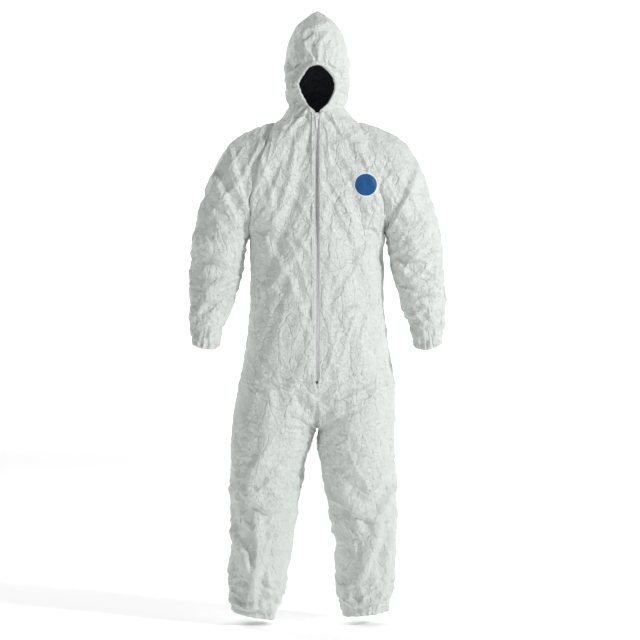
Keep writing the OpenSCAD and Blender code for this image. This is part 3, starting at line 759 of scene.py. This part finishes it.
def bump(nodes, links, height, strength, distance, under=None):
    b = nodes.new("ShaderNodeBump")
    b.inputs["Strength"].default_value = strength
    b.inputs["Distance"].default_value = distance
    links.new(height, b.inputs["Height"])
    if under:
        links.new(under, b.inputs["Normal"])
    return b.outputs["Normal"]


def between(nodes, links, value, dark, light):
    ramp = nodes.new("ShaderNodeValToRGB")
    ramp.color_ramp.elements[0].position, ramp.color_ramp.elements[1].position = 0.35, 0.65
    ramp.color_ramp.elements[0].color = (*dark, 1)
    ramp.color_ramp.elements[1].color = (*light, 1)
    links.new(value, ramp.inputs["Fac"])
    return ramp.outputs["Color"]


# Nets of thin creases: cells to the metre, their width as a share of their height, width of a crease as a
# share of a cell, and its depth in metres
CREASE_NETS = ((24, 0.45, 0.09, 0.0012), (44, 1.5, 0.12, 0.0008), (85, 0.7, 0.2, 0.0006))


def crease_net(nodes, links, place, scale, stretch, width):
    """Flat facets with thin creases between them, drawn out along the height and bent by a slow noise."""
    bend = nodes.new("ShaderNodeTexNoise")
    bend.inputs["Scale"].default_value = scale * 0.5
    bend.inputs["Detail"].default_value = 3
    links.new(place, bend.inputs["Vector"])
    less = nodes.new("ShaderNodeVectorMath")
    less.operation = "MULTIPLY_ADD"
    links.new(bend.outputs["Color"], less.inputs[0])
    less.inputs[1].default_value = (1.1 / scale,) * 3
    links.new(place, less.inputs[2])
    drawn = nodes.new("ShaderNodeMapping")
    drawn.inputs["Rotation"].default_value = (0.2, 0.3 * stretch, 0)
    drawn.inputs["Scale"].default_value = (1, 1, stretch)
    links.new(less.outputs[0], drawn.inputs["Vector"])
    cells = nodes.new("ShaderNodeTexVoronoi")
    cells.feature = "DISTANCE_TO_EDGE"
    cells.inputs["Scale"].default_value = scale
    links.new(drawn.outputs[0], cells.inputs["Vector"])
    rise = nodes.new("ShaderNodeMapRange")
    rise.interpolation_type = "SMOOTHSTEP"
    rise.inputs["From Max"].default_value = width
    links.new(cells.outputs["Distance"], rise.inputs["Value"])
    return rise.outputs["Result"]


def nonwoven(light, dark):
    """Spun sheet: faint swirled fibres, a fine crinkle, and a soft satin surface."""
    def build(nodes, links, shader):
        place = nodes.new("ShaderNodeTexCoord").outputs["Object"]
        fibres = noise_node(nodes, links, place, 240, 6)
        grain = noise_node(nodes, links, place, 90, 6)
        cloud = noise_node(nodes, links, place, 26, 4)
        links.new(between(nodes, links, cloud, dark, light), shader.inputs["Base Color"])
        normal = None
        for scale, stretch, width, depth in CREASE_NETS:
            net = crease_net(nodes, links, place, scale, stretch, width)
            normal = bump(nodes, links, net, 1.0, depth, normal)
        normal = bump(nodes, links, grain, 1.0, 0.0022, normal)
        links.new(bump(nodes, links, fibres, 0.5, 0.0004, normal), shader.inputs["Normal"])
        shader.inputs["Sheen Weight"].default_value = 0.06
        shader.inputs["Specular IOR Level"].default_value = 0.35
    return build


def woven(light, dark, threads):
    """Narrow tape: ribs across and along it."""
    def build(nodes, links, shader):
        place = nodes.new("ShaderNodeTexCoord").outputs["Object"]
        heights = []
        for direction in ("X", "Z"):
            wave = nodes.new("ShaderNodeTexWave")
            wave.bands_direction = direction
            wave.inputs["Scale"].default_value = threads
            links.new(place, wave.inputs["Vector"])
            heights.append(wave.outputs["Fac"])
        mix = nodes.new("ShaderNodeMath")
        mix.operation = "MULTIPLY"
        links.new(heights[0], mix.inputs[0])
        links.new(heights[1], mix.inputs[1])
        links.new(between(nodes, links, mix.outputs[0], dark, light), shader.inputs["Base Color"])
        links.new(bump(nodes, links, mix.outputs[0], 0.6, 0.0004), shader.inputs["Normal"])
    return build


def moulded(light, dark):
    """Smooth plastic or painted metal with faint unevenness."""
    def build(nodes, links, shader):
        place = nodes.new("ShaderNodeTexCoord").outputs["Object"]
        cloud = noise_node(nodes, links, place, 90, 4)
        links.new(between(nodes, links, cloud, dark, light), shader.inputs["Base Color"])
        links.new(bump(nodes, links, cloud, 0.15, 0.0002), shader.inputs["Normal"])
    return build


CLOTH = material("nonwoven", (0.66, 0.69, 0.67), 0.6, nonwoven((0.68, 0.715, 0.69), (0.65, 0.685, 0.66)))
HEM = material("nonwoven_hem", (0.66, 0.69, 0.67), 0.62, nonwoven((0.68, 0.71, 0.685), (0.64, 0.675, 0.65)))
# Near-black grey for a sheet just inside the hood: painted shade for the hood's hollow, whose cloth is white
# inside.
HOOD_SHADE_PAINT = material("painted_hood_shade", (0.012, 0.013, 0.016), 0.9,
                  nonwoven((0.2, 0.215, 0.235), (0.16, 0.172, 0.19)))
# The zip's tape and coil are much brighter than the cloth: partly their own white nylon, partly painted light
# that lifts the shade in the recess between the zip's edges.
TAPE = material("zip_tape", (0.9, 0.91, 0.91), 0.7, woven((0.92, 0.93, 0.93), (0.84, 0.85, 0.85), 500))
COIL = material("zip_coil", (0.9, 0.91, 0.91), 0.32, moulded((0.92, 0.93, 0.93), (0.86, 0.87, 0.87)))
ENAMEL = material("white_enamel", (0.80, 0.81, 0.81), 0.25, moulded((0.82, 0.83, 0.83), (0.76, 0.77, 0.77)))
ELASTIC = material("elastic", (0.78, 0.78, 0.74), 0.75, woven((0.80, 0.80, 0.77), (0.62, 0.62, 0.60), 420))
BLUE = material("badge_blue", (0.012, 0.13, 0.36), 0.4, moulded((0.002, 0.085, 0.25), (0.002, 0.076, 0.225)))
EDGE = material("badge_edge", (0.80, 0.82, 0.82), 0.45, moulded((0.82, 0.84, 0.84), (0.76, 0.78, 0.78)))

# ---------------------------------------------------------------- building pieces


def new_object(name, points, faces, mats, normals=None):
    mesh = bpy.data.meshes.new(name)
    mesh.from_pydata(np.asarray(points).tolist(), [], faces)
    for m in mats:
        mesh.materials.append(m)
    mesh.shade_smooth()
    if normals is not None:
        mesh.normals_split_custom_set_from_vertices(normals.tolist())
    else:
        bm = bmesh.new()
        bm.from_mesh(mesh)
        bmesh.ops.recalc_face_normals(bm, faces=bm.faces)
        bm.to_mesh(mesh)
    obj = bpy.data.objects.new(name, mesh)
    bpy.context.scene.collection.objects.link(obj)
    return obj


def cut_out(label):
    """A piece's points, faces and normals, with the normals of the whole suit."""
    chosen = [f for f, p in zip(fine_faces, fine_owner) if p == PIECES.index(label)]
    used = sorted({v for f in chosen for v in f})
    place = {v: k for k, v in enumerate(used)}
    return Q[used], [[place[v] for v in f] for f in chosen], QN[used]


def cloth_piece(label):
    points, faces, normals = cut_out(label)
    return new_object(label + "_sheet", points, faces, [CLOTH], normals)


def slab(near_rows, far_rows, wrap=False):
    """Points and faces of a closed shell between two grids."""
    rows, cols = len(near_rows), len(near_rows[0])
    size = rows * cols
    points = [p for r in near_rows for p in r] + [p for r in far_rows for p in r]
    last = cols if wrap else cols - 1

    def at(i, j):
        return i * cols + j % cols
    faces = []
    for i in range(rows - 1):
        for j in range(last):
            quad = [at(i, j), at(i, j + 1), at(i + 1, j + 1), at(i + 1, j)]
            faces += [quad, [size + v for v in quad[::-1]]]
    for j in range(last):
        for i in (0, rows - 1):
            faces.append([at(i, j), at(i, j + 1), size + at(i, j + 1), size + at(i, j)])
    for i in range(rows - 1):
        if not wrap:
            for j in (0, cols - 1):
                faces.append([at(i, j), at(i + 1, j), size + at(i + 1, j), size + at(i, j)])
    return points, faces


def boundary_loops():
    """The suit's open edges, each as its vertices in order."""
    once = {}
    for f in fine_faces:
        for a, b in zip(f, f[1:] + f[:1]):
            if once.pop((b, a), None) is None:
                once[(a, b)] = b
    follow = {a: b for a, b in once}
    loops = []
    while follow:
        start, nxt = next(iter(follow.items()))
        loop = [start]
        while nxt != start:
            loop.append(nxt)
            nxt = follow.pop(nxt)
        follow.pop(start)
        loops.append(np.array(loop))
    return loops


def softened(rows, rounds, closed):
    for _ in range(rounds):
        if closed:
            rows = (np.roll(rows, 1, 0) + 2 * rows + np.roll(rows, -1, 0)) / 4
        else:
            rows = np.concatenate([rows[:1], (rows[:-2] + 2 * rows[1:-1] + rows[2:]) / 4, rows[-1:]])
    return rows


def unit(v):
    return v / np.maximum(np.linalg.norm(v, axis=-1), 1e-9)[..., None]


def hem(name, path, past, out, profile, closed, mat):
    """A folded edge along a path. profile has (past the edge, out of the cloth, share of the gathers)."""
    smooth = softened(path, 24, closed)
    past, out = unit(softened(past, 6, closed)), unit(softened(out, 6, closed))
    rings = []
    for t, n, share in profile:
        rings.append(smooth + (path - smooth) * share + past * t * MM + out * n * MM)
    count, around = len(path), len(profile)
    points = np.stack(rings, 1).reshape(-1, 3)
    faces = []
    for i in range(count if closed else count - 1):
        for j in range(around):
            a, b = i * around, ((i + 1) % count) * around
            faces.append([a + j, a + (j + 1) % around, b + (j + 1) % around, b + j])
    if not closed:
        faces += [list(range(around)), [(count - 1) * around + j for j in range(around)]]
    return new_object(name, points, faces, [mat])


CUFF = [(-6, 0.3, 1), (-4, 0.9, 1), (-1, 0.1, 1), (1, 0.2, 1), (4, 0.8, 1), (8, 0.8, 1), (12, -0.4, 1),
        (14, -2.0, .9), (13.5, -4.4, .7), (10, -6.4, .5), (5, -6.6, .4), (0, -5.6, .5), (-4, -3.2, .8),
        (-6, -1, 1)]
BAND = [(2, -1.4, .8), (9, -1.4, .8), (9, -3.4, .6), (2, -3.4, .6)]
FACE_EDGE = [(-8, 0.5, 1), (-6, 1.8, 1), (-3, 0.7, 1), (0, 1.6, 1), (3, 1.4, 1), (4.4, -1, 1), (4, -5, .8),
             (1, -8, .8), (-3, -7, .8), (-6, -4, 1), (-8, -1, 1)]
ZIP_EDGE = [(-9, 0.1, 1), (-7, 0.5, 1), (-6, 0.1, 1), (-4.5, 0.4, 1), (-1, 0.4, 1), (0.2, 0.1, 1),
            (0.2, -0.8, 1), (-1, -1.2, 1), (-8, -1.2, 1), (-9, -0.8, 1)]
FACE_ELASTIC = [(2.2, -2.6, .8), (2.6, -4.6, .8), (1.2, -6.2, .8), (-0.2, -4.6, .8), (0.2, -2.8, .8)]

LEG_TILT = math.radians(30)
HOOD_FROM, HOOD_TO = (0, -.02, .022), (0, -.006, .108)      # where the hood's cloth starts and ends its bend
# How far inside the hood's cloth the sheet of painted shade lies.
SHADE_SHEET_IN = 0.0016


def bends(side, name):
    """The cloth over each joint: piece, both bodies, start and end of the bend, and its nodes."""
    armpit = Vector((side * .194, 0, -.313))
    down = Vector((side * .35, 0, -.937)).normalized()
    crotch = Vector((0, 0, CROTCH_Z * MM))
    leg_down = Vector((side * math.sin(LEG_TILT), 0, -math.cos(LEG_TILT)))
    sleeve, forearm = "upper_sleeve_" + name, "lower_sleeve_" + name
    thigh, shin = "upper_leg_" + name, "lower_leg_" + name
    return [
        ("sleeve_upper_cloth_", "torso", sleeve, armpit, armpit + down * .086,
         ("sleeve_head_", "sleeve_upper_")),
        ("sleeve_lower_cloth_", sleeve, forearm, (side * .294, 0, -.432), (side * .322, 0, -.532),
         ("sleeve_lower_",)),
        ("leg_upper_cloth_", "torso", thigh, crotch, crotch + leg_down * .118, ("thigh_",)),
        ("leg_lower_cloth_", thigh, shin, (0, 0, -1.02), (0, 0, -1.19), ("shin_",)),
        ("hood_cloth_", "torso", "hood", HOOD_FROM, HOOD_TO, ("hood_", "collar_"))]


def dress_limbs():
    """Cuts out the cloth of each body, hangs the panels from the torso, hides the CAD parts that the cloth
    stands in for, and lays a sheet of painted shade inside the hood.
    """
    for side, name in NAMES.items():
        for label in ("front_panel_", "back_panel_"):
            piece = cloth_piece(label + name)
            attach(piece, "torso")
            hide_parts(label + name)
        for label, a, b, start, end, nodes in bends(side, name):
            piece = cloth_piece(label + name)
            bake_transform(piece)
            gusset = ["crotch_gusset"] if label == "leg_upper_cloth_" else []
            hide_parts(*[node + name for node in nodes], *gusset)
        # A sheet just inside the hood, facing in and near-black: painted shade that darkens the hood's hollow.
        points, faces, normals = cut_out("hood_cloth_" + name)
        inward = [f[::-1] for f in faces]
        dark = new_object("hood_inside_" + name, points - normals * SHADE_SHEET_IN, inward, [HOOD_SHADE_PAINT], -normals)
        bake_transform(dark)


CUFF_PIECES = (("_cuff_", "_hem_", CUFF, HEM, "hem_cloth"), ("_band_", "_elastic_", BAND, ELASTIC, "elastic"))


def dress_edges():
    """Folded hems with their elastic at the wrists and ankles, and the edge of the face and zip."""
    for loop in boundary_loops():
        middle = Q[loop].mean(0)
        side = -1 if middle[0] < 0 else 1
        name = NAMES[side]
        away = Q[loop] - middle
        if middle[2] < -1.3:
            down, out = np.array([0., 0., -1.]), unit(away * [1, 1, 0])
            body, label = "lower_leg_", "ankle"
        elif abs(middle[0]) > 0.2:
            down = np.array([side * 0.126, -0.275, -0.953])
            out = unit(away - (away @ down)[:, None] * down)
            body, label = "lower_sleeve_", "wrist"
        else:
            face_and_zip(loop)
            continue
        past = np.tile(down, (len(loop), 1))
        for piece, node, profile, mat, slot_name in CUFF_PIECES:
            ring = hem(label + piece + name, Q[loop], past, out, profile, True, mat)
            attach(ring, body + name)
            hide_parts(label + node + name)


FACE_PIECES = (("face_edge", FACE_EDGE, HEM, "hem_cloth", "face_hem"),
               ("face_band", FACE_ELASTIC, ELASTIC, "elastic", "face_elastic"))


def face_and_zip(loop):
    """Splits the front edge into the face opening and the two edges of the zip."""
    loop = np.roll(loop, -int(np.argmin(F["z0"][loop])))
    inside = np.nonzero(F["z0"][loop] > 17.5)[0]
    face = loop[inside[0] - 1:inside[-1] + 2]
    toward = Q[face].mean(0) + [0, 0, 0.01] - Q[face]
    n = QN[face]
    past = toward - (toward * n).sum(1)[:, None] * n
    for label, profile, mat, slot_name, node in FACE_PIECES:
        edge = hem(label, Q[face], past, n, profile, False, mat)
        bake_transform(edge)
        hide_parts(node)
    for part in (loop[:inside[0] + 1], loop[inside[-1]:]):
        side = 1 if Q[part].mean(0)[0] > 0 else -1
        past, out = np.tile([-side * 1., 0., 0.], (len(part), 1)), np.tile([0., -1., 0.05], (len(part), 1))
        edge = hem("zip_edge_" + NAMES[side], Q[part], past, out, ZIP_EDGE, False, HEM)
        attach(edge, "torso")


# ---------------------------------------------------------------- zip

ZIP_TILT = math.atan(38 / 763)
ZIP_L = 760.0
TAPE_N, COIL_N = -2.7, -2.05
COIL_X, COIL_RX, COIL_RN, WIRE, COIL_PITCH = 1.95, 1.1, 0.6, 0.3, 2.0


def on_zip(x, s, n):
    """A point in the zip's frame: x across, s down, n out of the cloth."""
    sin, cos = math.sin(ZIP_TILT), math.cos(ZIP_TILT)
    down, out = np.array([0, -sin, -cos]), np.array([0, -cos, sin])
    start = np.array([0, -front_depth(16) - 0.3, 16])
    return (start + np.array([x, 0, 0]) + s * down + n * out) * MM


def tape(side):
    def row(s, lift):
        return [on_zip(side * x, s, TAPE_N + lift + 0.15 * math.sin(s / 31 + x / 4))
                for x in np.linspace(0.6, 12, 9)]
    heights = np.linspace(0, ZIP_L + 4, 200)
    points, faces = slab([row(s, 0.3) for s in heights], [row(s, -0.3) for s in heights])
    return new_object("tape_" + NAMES[side], points, faces, [TAPE])


def coil(side):
    """A thin wire wound round the tape's edge, one turn for each tooth."""
    steps, around = 8, 5
    count = int((ZIP_L - 7) / COIL_PITCH) * steps
    rings = []
    for k in range(count):
        a = 2 * math.pi * k / steps
        s = 3.5 + COIL_PITCH * k / steps + (COIL_PITCH / 2 if side > 0 else 0)
        x, n = COIL_X - COIL_RX * math.cos(a), COIL_N + COIL_RN * math.sin(a)
        centre = on_zip(side * x, s, n)
        u, v = np.array([-side * math.cos(a), -math.sin(a), 0]), np.array([0, 0, 1.0])
        rings.append([centre + WIRE * MM * (math.cos(b) * u + math.sin(b) * v)
                      for b in np.linspace(0, 2 * math.pi, around, endpoint=False)])
    points = [p for r in rings for p in r]
    faces = [[i * around + j, i * around + (j + 1) % around, (i + 1) * around + (j + 1) % around,
              (i + 1) * around + j] for i in range(count - 1) for j in range(around)]
    faces += [list(range(around)), [(count - 1) * around + j for j in range(around)]]
    return new_object("coil_" + NAMES[side], points, faces, [COIL])


def dress_zip():
    for side, name in NAMES.items():
        for piece, label in ((tape(side), "zip_tape"), (coil(side), "zip_teeth")):
            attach(piece, "torso")
            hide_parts(label + "_" + name)


# ---------------------------------------------------------------- badge and waist elastic


BLUE_SHARE = 0.88         # of the badge's radius, with the white edge outside it


def badge():
    """A thin round patch laid over the folds of the chest."""
    cx, cz, r = BADGE
    shares, count = np.linspace(0.002, 1, 20), 64
    angles = np.linspace(0, 2 * math.pi, count, endpoint=False)
    flat = [[(cx + r * k * math.cos(a), cz + r * k * math.sin(a)) for a in angles] for k in shares]
    ahead = Vector((0, 1, 0))
    hit = np.array([[surface.ray_cast(Vector((x * MM, -0.4, z * MM)), ahead)[0][1] for x, z in row]
                    for row in flat])
    smooth = hit.copy()
    for _ in range(12):
        smooth = (np.roll(smooth, 1, 1) + 2 * smooth + np.roll(smooth, -1, 1)) / 4
        inner = (smooth[:-2] + 2 * smooth[1:-1] + smooth[2:]) / 4
        smooth = np.concatenate([np.full((1, count), smooth[:2].mean()), inner, smooth[-1:]])
    front = np.minimum(hit, smooth + 0.0004) - 0.0006
    rows = [[(x * MM, front[i, j], z * MM) for j, (x, z) in enumerate(row)] for i, row in enumerate(flat)]
    back = [[(x, y + 0.0005, z) for x, y, z in row] for row in rows]
    points, faces = slab(rows, back, wrap=True)
    middles = np.array([np.mean([points[v] for v in f], axis=0) for f in faces])
    far = np.hypot(middles[:, 0] - cx * MM, middles[:, 2] - cz * MM)
    obj = new_object("round_badge", points, faces, [BLUE, EDGE])
    obj.data.polygons.foreach_set("material_index", (far > BLUE_SHARE * r * MM).astype(int).tolist())
    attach(obj, "torso")
    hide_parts("chest_badge")


def waist_band():
    """The elastic glued inside the small of the back."""
    heights, angles = np.linspace(-526, -506, 5), np.radians(np.linspace(25, 155, 60))

    def row(z, depth):
        out = []
        for a in angles:
            way = Vector((math.cos(a), math.sin(a), 0))
            hit = surface.ray_cast(Vector((0, 0, z * MM)), way)[0]
            out.append(np.array(hit - way * (0.0012 + depth)))
        return out
    points, faces = slab([row(z, 0) for z in heights], [row(z, 0.0012) for z in heights])
    obj = new_object("waist_band", points, faces, [ELASTIC])
    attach(obj, "torso")
    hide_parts("waist_elastic")


# ---------------------------------------------------------------- the cut sheets

# Flat cut of each sheet: width, length and area, in metres and square metres, how it is held, the sheet that
# it hangs from, and the pieces on it
CUTS = {
    "front_panel_": ((0.42, 1.01), 0.200, "hung", "back_panel_", ("zip_edge_",)),
    "back_panel_": ((0.42, 1.02), 0.210, "hung", "front_panel_", ()),
    "sleeve_upper_cloth_": ((0.85, 0.54), 0.203, "hung", "front_panel_", ()),
    "sleeve_lower_cloth_": ((0.49, 0.27), 0.095, "gathered", "sleeve_upper_cloth_", ("wrist_cuff_",)),
    "leg_upper_cloth_": ((0.83, 0.29), 0.160, "hung", "front_panel_", ()),
    "leg_lower_cloth_": ((0.68, 0.45), 0.252, "gathered", "leg_upper_cloth_", ("ankle_cuff_",)),
    "hood_cloth_": ((0.37, 0.42), 0.101, "gathered", "back_panel_", ("hood_inside_",)),
}


def declare_sheets():
    for label, (flat, area, held, above, pieces) in CUTS.items():
        for name in NAMES.values():
            with_pieces = [piece + name for piece in pieces]
            if label + name == "hood_cloth_left":
                with_pieces.append("face_edge")
            if label + name == "front_panel_left":
                with_pieces.append("round_badge")


dress_limbs()
dress_edges()
dress_zip()
badge()
waist_band()
declare_sheets()
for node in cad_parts.values():      # the slider, its pull and the stops are the CAD parts themselves
    if not node.hide_render:
        node.data.materials.clear()
        node.data.materials.append(ENAMEL)

# ---------------------------------------------------------------- floor, light and camera

CAMERA_AWAY = 5.5
VIEW_W = 1.856
AIM = Vector((0.0087, 0.02, -0.574))


FLOOR_BELOW = 0.024        # the hems' cloth reaches a little below the CAD part
WALL = [(-20, 9, -3), (20, 9, -3), (20, 9, 14), (-20, 9, 14)]


def stage_piece(mesh, glow, height=0.0):
    """A pale studio surface that glows a little."""
    pale = material(mesh.name, (0.9, 0.9, 0.9), 0.9)
    shader = pale.node_tree.nodes["Principled BSDF"]
    shader.inputs["Emission Color"].default_value = (1, 1, 1, 1)
    shader.inputs["Emission Strength"].default_value = glow
    mesh.materials.append(pale)
    obj = bpy.data.objects.new(mesh.name, mesh)
    obj.location.z = height
    bpy.context.scene.collection.objects.link(obj)


def floor():
    bm = bmesh.new()
    bmesh.ops.create_grid(bm, x_segments=1, y_segments=1, size=40)
    mesh = bpy.data.meshes.new("floor")
    bm.to_mesh(mesh)
    stage_piece(mesh, 0.3, cad_bounds[0].z - FLOOR_BELOW)


def backdrop():
    """A bright wall far behind the suit, as in a white studio."""
    mesh = bpy.data.meshes.new("backdrop")
    mesh.from_pydata(WALL, [], [[0, 1, 2, 3]])
    stage_piece(mesh, 0.9)


def area_light(name, place, size, power):
    data = bpy.data.lights.new(name, "AREA")
    data.size, data.energy = size, power
    obj = bpy.data.objects.new(name, data)
    obj.location = place
    obj.rotation_euler = (AIM - Vector(place)).to_track_quat("-Z", "Y").to_euler()
    bpy.context.scene.collection.objects.link(obj)


def studio():
    floor()
    backdrop()
    area_light("key", (5.0, -3.2, 2.2), 0.7, 285)
    area_light("fill", (-2.4, -3.6, 3.0), 1.0, 44)
    area_light("rim", (-2.6, 3.2, 2.2), 2.0, 60)
    bpy.context.scene.view_settings.view_transform = "Standard"
    world = bpy.data.worlds.new("studio")
    world.use_nodes = True
    world.node_tree.nodes["Background"].inputs["Color"].default_value = (1, 1, 1, 1)
    world.node_tree.nodes["Background"].inputs["Strength"].default_value = 0.12
    bpy.context.scene.world = world
    data = bpy.data.cameras.new("camera")
    data.sensor_width = 36
    data.lens = 36 * CAMERA_AWAY / VIEW_W
    camera = bpy.data.objects.new("camera", data)
    camera.location = AIM + Vector((0, -CAMERA_AWAY, 0))
    camera.rotation_euler = (math.pi / 2, 0, 0)
    bpy.context.scene.collection.objects.link(camera)
    bpy.context.scene.camera = camera


studio()
